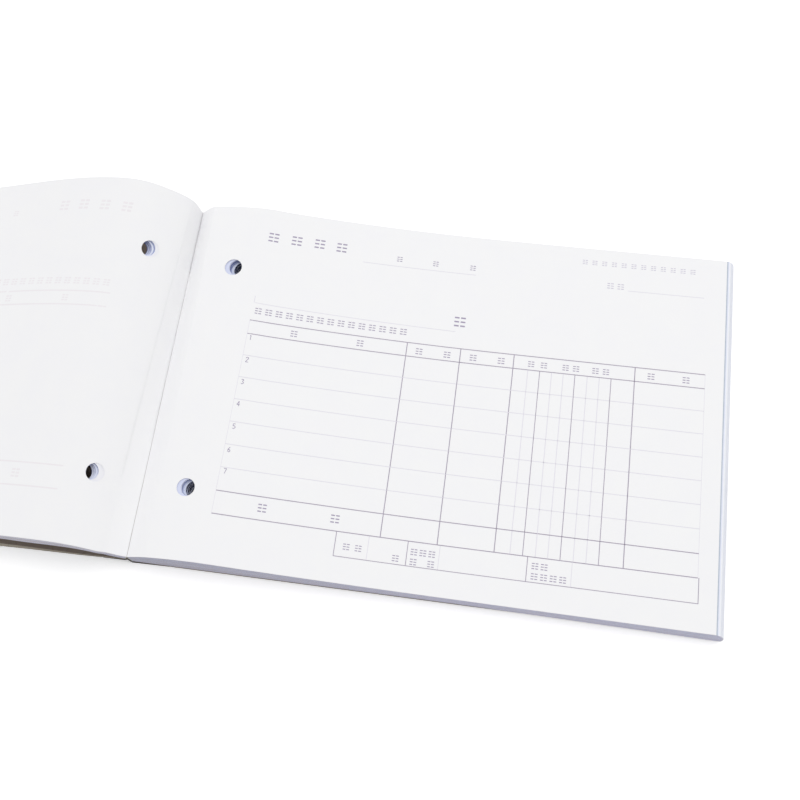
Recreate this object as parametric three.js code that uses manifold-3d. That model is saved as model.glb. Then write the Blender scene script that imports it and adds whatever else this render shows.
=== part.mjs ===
// Carbonless copy book, B6 landscape, lying open: the unwritten sets on the right,
// the turned sets and the front cover on the left. Millimetres, +Z up.
// X runs from the gutter towards the fore edge of the unwritten sets, Y along the spine
// from the reader's side to the far side, and Z = 0 is the table. The sections are drawn
// from the foot of the spine at the reader's side, and each piece is then set about the
// origin, which is the middle of the open book's footprint.

import * as THREE from 'three';
import { mergeVertices } from 'three/addons/utils/BufferGeometryUtils.js';
import Module from 'manifold-3d';

// Paper, card and tape
const sheetHeight = 128;
const tearOffWidth = 182;
const perforationInset = 2.5;
const paperCaliper = 0.08;
const coverCaliper = 0.5;
const tapeCaliper = 0.18;
const glueCaliper = 0.15;
const layerGap = 0.05;

// How the sets are shared out: a pack is a run of sheets that lie as one
const sheetsPerPack = 8;
const unwrittenPacks = 8;
const turnedPacks = 4;

// Filing holes
const holeDiameter = 6;
const holePitch = 80;
// The punch stood a little askew: the far hole is further from the perforation
const holeInsetNear = 13.6;
const holeInsetFar = 15.6;
const holeSides = 24;

// The binding edge: every sheet stands in the glue here and bends over at the bend line
const bendInset = 7;
const bendGap = 0.25;
const gutterParting = 0.24;
const gutterLean = 0.9;
const gutterHeightNear = 5.5;
const gutterHeightFar = 6.1;

// The bulge of the unwritten sets beside the gutter, near side and far side
const bendRiseNear = 1.9;
const bendRiseFar = 4.6;
const bulgeRiseNear = 3.6;
const bulgeRiseFar = 6.5;
const shoulderOut = 8;
const bulgeCrestOut = 22;
const bulgeRun = 90;
const bulgeFullnessNear = 0.3;
const bulgeFullnessFar = -0.1;

// The arch of the turned sets
const turnedBendOutNear = 7.5;
const turnedBendHeightNear = 7.9;
const turnedBendOutFar = 2.9;
const turnedBendHeightFar = 13;
const turnedShoulderOut = 11;
const archCrestOut = 24;
const archHeightNear = 14.1;
const archHeightFar = 24.5;
const archRun = 88;
const archEarlyFall = 0.93;

// Where the lowest turned sheet stands in the glue, and where it bends
const lowBoundOutNear = 2.2;
const lowBoundHeightNear = 2.9;
const lowBoundOutFar = 3.7;
const lowBoundHeightFar = 4.9;
const lowBendOutNear = 8.8;
const lowBendHeightNear = 5.2;
const lowBendOutFar = 6.3;
const lowBendHeightFar = 11.4;

// Covers and spine tape
const tapeWing = 12;
const joggleRun = 1.5;
const coverEdgeOutNear = 2.7;
const coverEdgeHeightNear = 1.9;
const coverEdgeOutFar = 4.2;
const coverEdgeHeightFar = 4.0;
const coverScoreOut = 10;
const coverScoreHeight = 1;
const coverLandingOut = 22;
const coverScoreGap = 0.3;
const coverProud = 0.8;
const backCoverShort = 1;

// Facets
const spansAlongSpine = 4;
const riseSteps = 4;
const fallSteps = 8;
const archRiseSteps = 4;
const archFallSteps = 9;
const coverSlopeSteps = 3;
const boundSteps = 5;
const cutOverrun = 2;

const sheetWidth = perforationInset + tearOffWidth;
const packCaliper = sheetsPerPack * paperCaliper;
const packPitch = packCaliper + layerGap;
const sheetPitch = paperCaliper + layerGap;
const blockBase = coverCaliper + layerGap;
const blockTop = blockBase + unwrittenPacks * packPitch;
const topSheetLevel = blockTop + sheetPitch + paperCaliper;
const turnedCaliper = 2 * sheetPitch + turnedPacks * packPitch - layerGap;
const turnedRestLevel = coverCaliper + layerGap + turnedCaliper;
const originOut = -coverEdgeOutNear / 2;
const originAlong = (sheetHeight - coverProud) / 2;

const paperWhite = new THREE.Color('#f2f2f4');
const paperBlue = new THREE.Color('#e3e8f5');
const cardKraft = new THREE.Color('#9a8f76');
const clothCharcoal = new THREE.Color('#4b4a50');
const glueCream = new THREE.Color('#e9e4d2');

const wasm = await Module();
wasm.setup();

const group = new THREE.Group();

// Small vector helpers. A point of a section is [x, z].

function mix(a, b, share) {
  return a + (b - a) * share;
}

function mixPoint(a, b, share) {
  return [mix(a[0], b[0], share), mix(a[1], b[1], share)];
}

function mixLine(a, b, share) {
  return a.map((point, i) => mixPoint(point, b[i], share));
}

function shiftLine(line, rise) {
  return line.map(([x, z]) => [x, z + rise]);
}

// Offsets an open line to its left-hand side, mitred at the corners.
function offsetLine(line, distance) {
  const legs = line.slice(1).map(([x, z], i) => {
    const along = new THREE.Vector2(x - line[i][0], z - line[i][1]).normalize();
    return new THREE.Vector2(-along.y, along.x);
  });
  return line.map(([x, z], i) => {
    const before = legs[Math.max(i - 1, 0)];
    const after = legs[Math.min(i, legs.length - 1)];
    const miter = before.clone().add(after);
    miter.multiplyScalar((2 * distance) / miter.lengthSq());
    return [x + miter.x, z + miter.y];
  });
}

function lineLength(line) {
  return line.slice(1).reduce((sum, [x, z], i) => sum + Math.hypot(x - line[i][0], z - line[i][1]), 0);
}

// The point at a given length along a line, with the direction of the line there.
function pointAlong(line, length) {
  let left = length;
  for (let i = 1; i < line.length; i += 1) {
    const leg = Math.hypot(line[i][0] - line[i - 1][0], line[i][1] - line[i - 1][1]);
    if (left <= leg || i === line.length - 1) {
      const point = mixPoint(line[i - 1], line[i], left / leg);
      const slope = [(line[i][0] - line[i - 1][0]) / leg, (line[i][1] - line[i - 1][1]) / leg];
      return { point, slope };
    }
    left -= leg;
  }
  return null;
}

// Joins the upper and lower lines of a layer, near end and far end, into one closed body.
// near and far are { upper, lower }, with as many points in each line.
function layerGeometry(near, far, nearY = 0, farY = sheetHeight) {
  const count = near.upper.length;
  const positions = [];
  for (let row = 0; row <= spansAlongSpine; row += 1) {
    const share = row / spansAlongSpine;
    const y = mix(nearY, farY, share);
    const upper = mixLine(near.upper, far.upper, share);
    const lower = mixLine(near.lower, far.lower, share);
    upper.concat(lower).forEach(([x, z]) => positions.push(x, y, z));
  }
  const at = (row, side, i) => row * 2 * count + side * count + i;
  const faces = [];
  const quad = (a, b, c, d) => faces.push(a, b, c, a, c, d);
  for (let row = 0; row < spansAlongSpine; row += 1) {
    for (let i = 0; i < count - 1; i += 1) {
      quad(at(row, 0, i), at(row, 0, i + 1), at(row + 1, 0, i + 1), at(row + 1, 0, i));
      quad(at(row, 1, i), at(row + 1, 1, i), at(row + 1, 1, i + 1), at(row, 1, i + 1));
    }
    quad(at(row, 0, 0), at(row + 1, 0, 0), at(row + 1, 1, 0), at(row, 1, 0));
    const last = count - 1;
    quad(at(row, 0, last), at(row, 1, last), at(row + 1, 1, last), at(row + 1, 0, last));
  }
  for (let i = 0; i < count - 1; i += 1) {
    quad(at(0, 0, i), at(0, 1, i), at(0, 1, i + 1), at(0, 0, i + 1));
    const end = spansAlongSpine;
    quad(at(end, 0, i), at(end, 0, i + 1), at(end, 1, i + 1), at(end, 1, i));
  }
  const runsLeft = near.upper[count - 1][0] < near.upper[0][0];
  const geometry = new THREE.BufferGeometry();
  geometry.setAttribute('position', new THREE.Float32BufferAttribute(positions, 3));
  geometry.setIndex(runsLeft ? faces.slice().reverse() : faces);
  return geometry;
}

function toSolid(geometry) {
  const bare = geometry.clone();
  bare.deleteAttribute('normal');
  bare.deleteAttribute('uv');
  const merged = mergeVertices(bare);
  return new wasm.Manifold(new wasm.Mesh({
    numProp: 3,
    vertProperties: new Float32Array(merged.attributes.position.array),
    triVerts: new Uint32Array(merged.index.array),
  }));
}

function toGeometry(solid) {
  const mesh = solid.getMesh();
  const geometry = new THREE.BufferGeometry();
  geometry.setAttribute('position', new THREE.BufferAttribute(mesh.vertProperties, 3));
  geometry.setIndex(new THREE.BufferAttribute(mesh.triVerts, 1));
  return geometry;
}

// Punches the two filing holes square to a layer whose whole upper lines are given.
function punch(geometry, nearLine, farLine, thickness) {
  let solid = toSolid(geometry);
  for (const side of [-1, 1]) {
    const y = (sheetHeight + side * holePitch) / 2;
    const line = mixLine(nearLine, farLine, y / sheetHeight);
    const inset = side < 0 ? holeInsetNear : holeInsetFar;
    const { point, slope } = pointAlong(line, perforationInset + inset);
    const tool = new THREE.CylinderGeometry(
      holeDiameter / 2,
      holeDiameter / 2,
      thickness + 2 * cutOverrun,
      holeSides,
    );
    tool.rotateX(Math.PI / 2);
    tool.rotateY(-Math.atan2(slope[1], slope[0]));
    tool.translate(point[0], y, point[1]);
    solid = solid.subtract(toSolid(tool));
  }
  return toGeometry(solid);
}

function add(name, geometry, color, roughness) {
  geometry.translate(-originOut, -originAlong, 0);
  geometry.computeVertexNormals();
  const material = new THREE.MeshStandardMaterial({ color, roughness, metalness: 0 });
  const mesh = new THREE.Mesh(geometry, material);
  mesh.name = name;
  group.add(mesh);
}

const addPaper = (name, geometry, color = paperWhite) => add(name, geometry, color, 0.85);

// The unwritten sets. A line at a given level of the flat block: it leaves the glue,
// rises over the bulge beside the gutter and comes down to that level.

const rightEnds = {
  near: {
    gutter: gutterHeightNear,
    bend: bendRiseNear,
    bulge: bulgeRiseNear,
    fullness: bulgeFullnessNear,
  },
  far: {
    gutter: gutterHeightFar,
    bend: bendRiseFar,
    bulge: bulgeRiseFar,
    fullness: bulgeFullnessFar,
  },
};

function rightBendLine(level, end) {
  const share = (level - blockBase) / (topSheetLevel - blockBase);
  const bound = [-gutterLean * share, mix(blockBase, end.gutter, share)];
  const bendHeight = level + end.bend * share;
  const reach = Math.sqrt(bendInset ** 2 - (bendHeight - bound[1]) ** 2);
  return [bound, [bound[0] + reach, bendHeight]];
}

// The same line without its last point, which is the fore edge.
function rightRise(level, end) {
  const share = (level - blockBase) / (topSheetLevel - blockBase);
  const line = rightBendLine(level, end);
  const bendOut = line[1][0];
  for (let i = 0; i <= riseSteps; i += 1) {
    const x = mix(shoulderOut, bulgeCrestOut, i / riseSteps);
    const left = (bulgeCrestOut - x) / (bulgeCrestOut - bendOut);
    line.push([x, level + share * mix(end.bulge, end.bend, left ** 2)]);
  }
  for (let i = 1; i <= fallSteps; i += 1) {
    const run = i / fallSteps;
    const height = end.bulge * (1 - run) ** 2 * (1 + end.fullness * run);
    line.push([bulgeCrestOut + bulgeRun * run, level + share * height]);
  }
  return line;
}

// The fore edge stays parallel to the spine, where the mean of the two ends puts it.
function rightLine(level, end) {
  const line = rightRise(level, end);
  const reach = [rightEnds.near, rightEnds.far].map((each) => {
    const rise = rightRise(level, each);
    return rise[rise.length - 1][0] + sheetWidth - lineLength(rise);
  });
  line.push([(reach[0] + reach[1]) / 2, level]);
  return line;
}

function addUnwrittenPack(number) {
  const bottom = blockBase + (number - 1) * packPitch;
  const [near, far] = [rightEnds.near, rightEnds.far].map((end) => ({
    upper: rightLine(bottom + packCaliper, end),
    lower: rightLine(bottom, end),
  }));
  const geometry = layerGeometry(near, far);
  const bulge = bulgeRiseFar + packCaliper;
  addPaper(`unwritten_sets_${number}`, punch(geometry, near.upper, far.upper, bulge));
}

// A single sheet is a bound strip that stays in the glue and a leaf that turns at the bend line.
function addRightSheet(name, level, color) {
  const layer = (line) => ({ upper: line, lower: shiftLine(line, -paperCaliper) });
  const whole = [rightEnds.near, rightEnds.far].map((end) => rightLine(level, end));
  const strips = whole.map((line) => {
    const stripEnd = pointAlong(line, bendInset - bendGap).point;
    return layer([line[0], stripEnd]);
  });
  addPaper(`${name}_bound_strip`, layerGeometry(strips[0], strips[1]), color);
  const leaves = whole.map((line) => layer(line.slice(1)));
  const leaf = layerGeometry(leaves[0], leaves[1]);
  addPaper(name, punch(leaf, whole[0], whole[1], paperCaliper), color);
}

// The turned sets. A line at a given depth under the uppermost turned page.

const leftEnds = {
  near: {
    gutter: [-gutterLean - gutterParting, gutterHeightNear],
    bend: [-turnedBendOutNear, turnedBendHeightNear],
    lowBound: [-lowBoundOutNear, lowBoundHeightNear],
    lowBend: [-lowBendOutNear, lowBendHeightNear],
    arch: archHeightNear,
    coverEdge: [-coverEdgeOutNear, coverEdgeHeightNear],
  },
  far: {
    gutter: [-gutterLean - gutterParting, gutterHeightFar],
    bend: [-turnedBendOutFar, turnedBendHeightFar],
    lowBound: [-lowBoundOutFar, lowBoundHeightFar],
    lowBend: [-lowBendOutFar, lowBendHeightFar],
    arch: archHeightFar,
    coverEdge: [-coverEdgeOutFar, coverEdgeHeightFar],
  },
};

function leftLine(depth, end) {
  const share = depth / turnedCaliper;
  const line = [mixPoint(end.gutter, end.lowBound, share), mixPoint(end.bend, end.lowBend, share)];
  const [bendX, bendHeight] = end.bend;
  for (let i = 0; i <= archRiseSteps; i += 1) {
    const x = -mix(turnedShoulderOut, archCrestOut, i / archRiseSteps);
    const left = (archCrestOut + x) / (archCrestOut + bendX);
    line.push([x, mix(end.arch, bendHeight, left ** 2) - depth]);
  }
  for (let i = 1; i <= archFallSteps; i += 1) {
    const run = i / archFallSteps;
    const fallen = run ** archEarlyFall;
    const height = mix(turnedRestLevel, end.arch, (1 + Math.cos(Math.PI * fallen)) / 2);
    line.push([-archCrestOut - archRun * run, height - depth]);
  }
  const foreEdge = line[line.length - 1][0] - (sheetWidth - lineLength(line));
  line.push([foreEdge, turnedRestLevel - depth]);
  return line;
}

function addTurnedLayer(name, depth, caliper, color) {
  const ends = [leftEnds.near, leftEnds.far];
  const upper = ends.map((end) => leftLine(depth, end));
  const lower = ends.map((end) => leftLine(depth + caliper, end));
  const strips = ends.map((end, i) => ({
    upper: [upper[i][0], pointAlong(upper[i], bendInset - bendGap).point],
    lower: [lower[i][0], pointAlong(lower[i], bendInset - bendGap).point],
  }));
  addPaper(`${name}_bound_strip`, layerGeometry(strips[0], strips[1]), color);
  const leaves = ends.map((end, i) => ({ upper: upper[i].slice(1), lower: lower[i].slice(1) }));
  const leaf = layerGeometry(leaves[0], leaves[1]);
  addPaper(name, punch(leaf, upper[0], upper[1], caliper), color);
}

// Covers

const spineUnderside = layerGap + tapeCaliper;

function addBackCover() {
  const joggleOut = tapeWing + joggleRun;
  const foreEdge = sheetWidth - backCoverShort;
  const upper = [0, tapeWing + layerGap, joggleOut, foreEdge].map((x) => [x, coverCaliper]);
  const lower = upper.map(([x], i) => [x, i < 2 ? spineUnderside : 0]);
  const section = { upper, lower };
  add('back_cover', layerGeometry(section, section), cardKraft, 0.8);
}

function coverSection(underside) {
  return { upper: shiftLine(underside, coverCaliper), lower: underside };
}

function addFrontCover() {
  const score = [-coverScoreOut, coverScoreHeight];
  const strips = [leftEnds.near, leftEnds.far].map((end) => coverSection([end.coverEdge, score]));
  const hinge = layerGeometry(strips[0], strips[1], -coverProud, sheetHeight);
  add('front_cover_spine_strip', hinge, cardKraft, 0.8);

  const underside = [];
  const start = coverScoreOut + coverScoreGap;
  for (let i = 0; i <= coverSlopeSteps; i += 1) {
    const out = mix(start, coverLandingOut, i / coverSlopeSteps);
    const left = (coverLandingOut - out) / (coverLandingOut - coverScoreOut);
    underside.push([-out, coverScoreHeight * left ** 2]);
  }
  underside.push([-coverEdgeOutNear - sheetWidth, 0]);
  const section = coverSection(underside);
  const cover = layerGeometry(section, section, -coverProud, sheetHeight);
  add('front_cover', cover, cardKraft, 0.8);
}

// Binding: the glue follows the bound edges, and the cloth tape wraps the glue and both covers.

// The face that all the bound edges make: up the unwritten sets and down the turned ones.
function boundLine(end, gutterHeight) {
  return [[0, blockBase], [-gutterLean - gutterParting / 2, gutterHeight], end.lowBound];
}

// The leg down the turned bound edges twists from end to end, so it gets more points.
function splitLeg(line, leg) {
  const extra = [];
  for (let i = 1; i < boundSteps; i += 1) {
    extra.push(mixPoint(line[leg], line[leg + 1], i / boundSteps));
  }
  return [...line.slice(0, leg + 1), ...extra, ...line.slice(leg + 1)];
}

function glueSection(end, gutterHeight) {
  const bound = boundLine(end, gutterHeight);
  return {
    upper: splitLeg(offsetLine(bound, layerGap), 1),
    lower: splitLeg(offsetLine(bound, layerGap + glueCaliper), 1),
  };
}

function tapeSection(end, gutterHeight) {
  const [foot, apex, heel] = offsetLine(boundLine(end, gutterHeight), layerGap + glueCaliper);
  const path = [
    [tapeWing, spineUnderside],
    [foot[0], spineUnderside],
    apex,
    heel,
    end.coverEdge,
    [-coverScoreOut, coverScoreHeight],
  ];
  return {
    upper: splitLeg(offsetLine(path, layerGap), 2),
    lower: splitLeg(offsetLine(path, layerGap + tapeCaliper), 2),
  };
}

function addBinding() {
  const glue = [
    glueSection(leftEnds.near, gutterHeightNear),
    glueSection(leftEnds.far, gutterHeightFar),
  ];
  add('binding_glue', layerGeometry(glue[0], glue[1]), glueCream, 0.5);
  const tape = [
    tapeSection(leftEnds.near, gutterHeightNear),
    tapeSection(leftEnds.far, gutterHeightFar),
  ];
  add('spine_tape', layerGeometry(tape[0], tape[1]), clothCharcoal, 0.9);
}

addBackCover();
for (let number = 1; number <= unwrittenPacks; number += 1) addUnwrittenPack(number);
addRightSheet('copy_sheet', blockTop + paperCaliper, paperBlue);
addRightSheet('top_sheet', topSheetLevel, paperWhite);
addTurnedLayer('turned_top_sheet', 0, paperCaliper, paperWhite);
addTurnedLayer('turned_copy_sheet', sheetPitch, paperCaliper, paperBlue);
for (let number = 1; number <= turnedPacks; number += 1) {
  const depth = 2 * sheetPitch + (number - 1) * packPitch;
  addTurnedLayer(`turned_sets_${number}`, depth, packCaliper, paperWhite);
}
addFrontCover();
addBinding();

export default group;
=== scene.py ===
import math
import random

import bpy
import numpy as np
from mathutils import Matrix, Vector
from mathutils.bvhtree import BVHTree


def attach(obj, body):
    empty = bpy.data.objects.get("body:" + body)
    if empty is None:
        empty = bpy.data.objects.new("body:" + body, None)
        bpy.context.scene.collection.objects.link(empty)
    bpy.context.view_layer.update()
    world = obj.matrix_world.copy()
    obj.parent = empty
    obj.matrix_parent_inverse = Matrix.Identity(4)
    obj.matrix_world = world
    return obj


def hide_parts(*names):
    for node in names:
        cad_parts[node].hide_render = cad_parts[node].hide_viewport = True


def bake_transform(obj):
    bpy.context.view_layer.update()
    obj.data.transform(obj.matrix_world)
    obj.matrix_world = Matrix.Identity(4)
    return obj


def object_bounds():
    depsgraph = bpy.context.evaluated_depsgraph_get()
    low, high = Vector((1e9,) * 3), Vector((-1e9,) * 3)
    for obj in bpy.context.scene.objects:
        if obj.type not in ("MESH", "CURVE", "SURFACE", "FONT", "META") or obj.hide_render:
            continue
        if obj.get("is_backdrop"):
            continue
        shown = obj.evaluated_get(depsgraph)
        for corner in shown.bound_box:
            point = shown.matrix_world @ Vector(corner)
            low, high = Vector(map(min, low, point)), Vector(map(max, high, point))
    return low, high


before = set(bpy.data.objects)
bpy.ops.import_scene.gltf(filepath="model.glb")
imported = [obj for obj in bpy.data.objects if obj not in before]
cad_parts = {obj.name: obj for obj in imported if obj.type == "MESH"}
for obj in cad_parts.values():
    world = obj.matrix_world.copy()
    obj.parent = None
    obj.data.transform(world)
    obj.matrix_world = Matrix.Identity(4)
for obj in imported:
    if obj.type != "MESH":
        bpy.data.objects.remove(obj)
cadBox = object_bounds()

print("frame loaded:", len(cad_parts), "nodes")

# Sizes of the paper are in millimetres, in the section frame of the CAD source:
# X from the foot of the spine, Y from the reader's edge of the sheets, Z from the table.
paper = {
    "height": 128.0,
    "width": 184.5,
    "caliper": 0.08,
    "gap": 0.05,
    "pack": 0.64,
    "rightPacks": 8,
    "leftPacks": 4,
    "setsPerPack": 4,
    "setThickness": 0.142,  # two sheets, with a breath of air to the next set
    "bendInset": 7.0,
    "holeAlong": (16.1, 18.1),  # at the near and the far hole, from the bound edge
    "holePitch": 80.0,
    "holeDiameter": 6.0,
    "holeScatter": 0.05,  # from set to set
    "packScatter": 0.05,  # from pack to pack
    "gutterClose": 0.06,  # the two open pages almost touch at the gutter
    "gutterTighter": 1.6,  # times as close at the far end, where the pages stand steeper
    "gutterReach": 2.0,
    "foreScatter": 0.15,  # how far a set stands out of the fore edge
    "edgeScatter": 0.09,  # how far a set stands out of the trimmed side
    "cornerOut": (0.85, 0.35),  # the near fore corner is out of square: lowest set, page
    "block": 0.55,
    "pageLevel": 6.28,
    "turnedCaliper": 2.97,
    "turnedRest": 3.52,
    "originX": 1.35,
    "originY": -63.6,
}

rightEnds = {
    "near": {"gutter": 5.5, "bend": 1.9, "bulge": 3.6, "fullness": 0.3},
    "far": {"gutter": 6.1, "bend": 4.6, "bulge": 6.5, "fullness": -0.1},
}
leftEnds = {
    "near": {"gutter": (-1.14, 5.5), "bend": (-7.5, 7.9), "lowBound": (-2.2, 2.9),
             "lowBend": (-8.8, 5.2), "arch": 14.1},
    "far": {"gutter": (-1.14, 6.1), "bend": (-2.9, 13.0), "lowBound": (-3.7, 4.9),
            "lowBend": (-6.3, 11.4), "arch": 24.5},
}

# Corners of the section lines across the book, out from the foot of the spine
rightSection = {"lean": 0.9, "riseFrom": 8.0, "crest": 22.0, "run": 90.0}
leftSection = {"riseFrom": 11.0, "crest": 24.0, "run": 88.0, "earlyFall": 0.93}

# The middle of the stack stands out furthest, where the opened sets have slid over each other.
foreBow = {"upTo": 0.97, "foot": -0.7, "rise": 4.98, "fall": 3.8}


def mix(a, b, share):
    return a + (b - a) * share


def lineLength(line):
    return sum(math.dist(a, b) for a, b in zip(line, line[1:]))


# How high a level lies in the unwritten stack: 0 at its foot, 1 at the page
def stackShare(level):
    return (level - paper["block"]) / (paper["pageLevel"] - paper["block"])


def rightRise(level, end):
    share, crest = stackShare(level), rightSection["crest"]
    bound = (-rightSection["lean"] * share, mix(paper["block"], end["gutter"], share))
    bendHeight = level + end["bend"] * share
    reach = math.sqrt(paper["bendInset"] ** 2 - (bendHeight - bound[1]) ** 2)
    line = [bound, (bound[0] + reach, bendHeight)]
    for i in range(5):
        x = mix(rightSection["riseFrom"], crest, i / 4)
        toCrest = (crest - x) / (crest - line[1][0])
        line.append((x, level + share * mix(end["bulge"], end["bend"], toCrest ** 2)))
    for i in range(1, 9):
        run = i / 8
        rise = end["bulge"] * (1 - run) ** 2 * (1 + end["fullness"] * run)
        line.append((crest + rightSection["run"] * run, level + share * rise))
    return line


def foreEdgeBow(share):
    if share > foreBow["upTo"]:
        return 0
    return foreBow["foot"] + foreBow["rise"] * share - foreBow["fall"] * share ** 2


def rightLines(level):
    lines = [rightRise(level, rightEnds[end]) for end in ("near", "far")]
    reach = sum(line[-1][0] + paper["width"] - lineLength(line) for line in lines) / 2
    reach += foreEdgeBow(stackShare(level))
    return [line + [(mix(line[-1][0], reach, 0.5), level), (reach, level)] for line in lines]


def leftLines(depth):
    share, crest = depth / paper["turnedCaliper"], leftSection["crest"]
    lines = []
    for name in ("near", "far"):
        end = leftEnds[name]
        bound = tuple(mix(a, b, share) for a, b in zip(end["gutter"], end["lowBound"]))
        bend = tuple(mix(a, b, share) for a, b in zip(end["bend"], end["lowBend"]))
        line = [bound, bend]
        for i in range(5):
            x = mix(leftSection["riseFrom"], crest, i / 4)
            toCrest = (crest - x) / (crest + end["bend"][0])
            line.append((-x, mix(end["arch"], end["bend"][1], toCrest ** 2) - depth))
        for i in range(1, 10):
            run = i / 9
            raised = (1 + math.cos(math.pi * run ** leftSection["earlyFall"])) / 2
            line.append((-crest - leftSection["run"] * run,
                         mix(paper["turnedRest"], end["arch"], raised) - depth))
        reach = line[-1][0] - (paper["width"] - lineLength(line))
        line += [(mix(line[-1][0], reach, 0.5), paper["turnedRest"] - depth),
                 (reach, paper["turnedRest"] - depth)]
        lines.append(line)
    return lines


# Carries a smooth line through the corners of a section line.
def roundLine(line, steps=6):
    points = np.array(line)
    chords = np.linalg.norm(np.diff(points, axis=0), axis=1)
    slopes = np.diff(points, axis=0) / chords[:, None]
    tangents = [slopes[0]]
    for i in range(1, len(chords)):
        tangents.append((slopes[i] * chords[i - 1] + slopes[i - 1] * chords[i])
                        / (chords[i - 1] + chords[i]))
    tangents.append(slopes[-1])
    out = [points[0]]
    for i, chord in enumerate(chords):
        for t in np.linspace(0, 1, steps + 1)[1:]:
            out.append(points[i] * (2 * t ** 3 - 3 * t ** 2 + 1)
                       + tangents[i] * chord * (t ** 3 - 2 * t ** 2 + t)
                       + points[i + 1] * (3 * t ** 2 - 2 * t ** 3)
                       + tangents[i + 1] * chord * (t ** 3 - t ** 2))
    return np.array(out)


# Under the arch the near ends of the turned leaves stand out towards the reader, and the
# lower ones hang down a little, each further than the one above it.
turnedNear = {
    "along": (7, 10, 22, 32, 42, 60),
    "out": (0.0, 0.45, 0.5, 0.37, 0.26, 0.1),
    "hang": (0.0, 0.0, 0.42, 0.7, 0.32, 0.1),  # for each millimetre below the turned page
    "reach": 14.0,
}


# Lengths run from the bound edge, rows from the near side.
sheetGrid = {
    "stretchFrom": 115.0,  # beyond it every section is scaled to the width of one sheet
    "slipFrom": 120.0,
    "cornerFrom": 104.0,
    "rimFrom": 184.2,  # beyond it the face looks like the fore edge
    "windowMargin": 0.4,
    "windowRows": (-5, -2.5, 0, 2.5, 5),  # from the middle of a hole
}


# One face of a sheet: where it lies, for a length along the sheet and a place along the spine.
def sheetFace(side, value, drop=0.0, close=0.0):
    lines = rightLines(value) if side == "right" else leftLines(value)
    nearLine, farLine = (roundLine(line) - np.array([0.0, drop]) for line in lines)
    cache = {}

    def section(y):
        key = round(y, 3)
        if key not in cache:
            points = mix(nearLine, farLine, y / paper["height"])
            legs = np.linalg.norm(np.diff(points, axis=0), axis=1)
            along = np.concatenate([[0], np.cumsum(legs)])
            start = sheetGrid["stretchFrom"]
            scaled = start + (along - start) * (paper["width"] - start) / (along[-1] - start)
            cache[key] = (np.where(along > start, scaled, along), points)
        return cache[key]

    def place(s, y):
        along, points = section(y)
        tighter = mix(1.0, paper["gutterTighter"], y / paper["height"])
        inward = close * tighter * max(0.0, 1 - s / paper["gutterReach"])
        x = np.interp(s, along, points[:, 0]) + (-inward if side == "right" else inward)
        z = np.interp(s, along, points[:, 1])
        if side == "left":
            nearness = max(0.0, 1 - y / turnedNear["reach"])
            y -= nearness * np.interp(s, turnedNear["along"], turnedNear["out"])
            z -= nearness * value * np.interp(s, turnedNear["along"], turnedNear["hang"])
        return (x, y, z)

    return place


def toMetres(point):
    x, y, z = point
    return ((x + paper["originX"]) / 1000, (y + paper["originY"]) / 1000, z / 1000)


holeRows = [(paper["height"] - paper["holePitch"]) / 2,
            (paper["height"] + paper["holePitch"]) / 2]
holeLengths = [11 + 1.25 * i for i in range(13)]
fineLengths = ([0, 1.2, 2.4, 3.6, 4.8, 6, 7, 8, 9, 10] + holeLengths
               + list(range(28, 61, 2)) + list(range(64, 125, 4))
               + [135, 150, 165, 175, 184.1, 184.5])
plainLengths = ([0, 2, 4, 5.5, 7, 8, 9.5] + holeLengths
                + list(range(30, 61, 5)) + list(range(66, 115, 6)) + [125, 145, 165, 184.1, 184.5])
rowStations = [0, 6, 12, 19, 21.5, 24, 26.5, 29, 38, 47, 56, 64, 72, 81, 90, 99, 101.5, 104, 106.5,
               109, 116, 122, 128]
ringPoints = 40


# A hole stands in a window of the sheet, as narrow as the stations along it allow
def windowSpan(lengths, centreS):
    reach = paper["holeDiameter"] / 2 + sheetGrid["windowMargin"]
    return (max(s for s in lengths if s <= centreS - reach),
            min(s for s in lengths if s >= centreS + reach))


# The window's rim, run round against the clock
def windowRim(lengths, span):
    inside = [s for s in lengths if span[0] <= s <= span[1]]
    rows = sheetGrid["windowRows"]
    return ([(s, rows[0]) for s in inside] + [(span[1], y) for y in rows[1:]]
            + [(s, rows[-1]) for s in inside[-2::-1]] + [(span[0], y) for y in rows[-2:0:-1]])


# Faces between the window's rim and the round hole, as (is on the ring, number) for each corner
def windowFaces(rimPlaces, centreS, centreY):
    def turn(a, b):
        return abs((a - b + math.pi) % (2 * math.pi) - math.pi)

    rimAngles = [math.atan2(y - centreY, s - centreS) for s, y in rimPlaces]
    nearest = []
    for j in range(ringPoints):
        middle = (j + 0.5) * 2 * math.pi / ringPoints
        nearest.append(min(range(len(rimPlaces)), key=lambda i: turn(rimAngles[i], middle)))
    out = []
    for j in range(ringPoints):
        rim, after = nearest[j], nearest[(j + 1) % ringPoints]
        following = (j + 1) % ringPoints
        out.append([(False, rim), (True, following), (True, j)])
        while rim != after:
            ahead = (rim + 1) % len(rimPlaces)
            out.append([(False, rim), (False, ahead), (True, following)])
            rim = ahead
    return out


# Material slots of a sheet
faceSlot, wallSlot, sideSlot, foreSlot = range(4)


# How far a length lies beyond a start, as a share of the way to the fore edge
def shareBeyond(s, start):
    return max(0.0, (s - start) / (paper["width"] - start))


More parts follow.
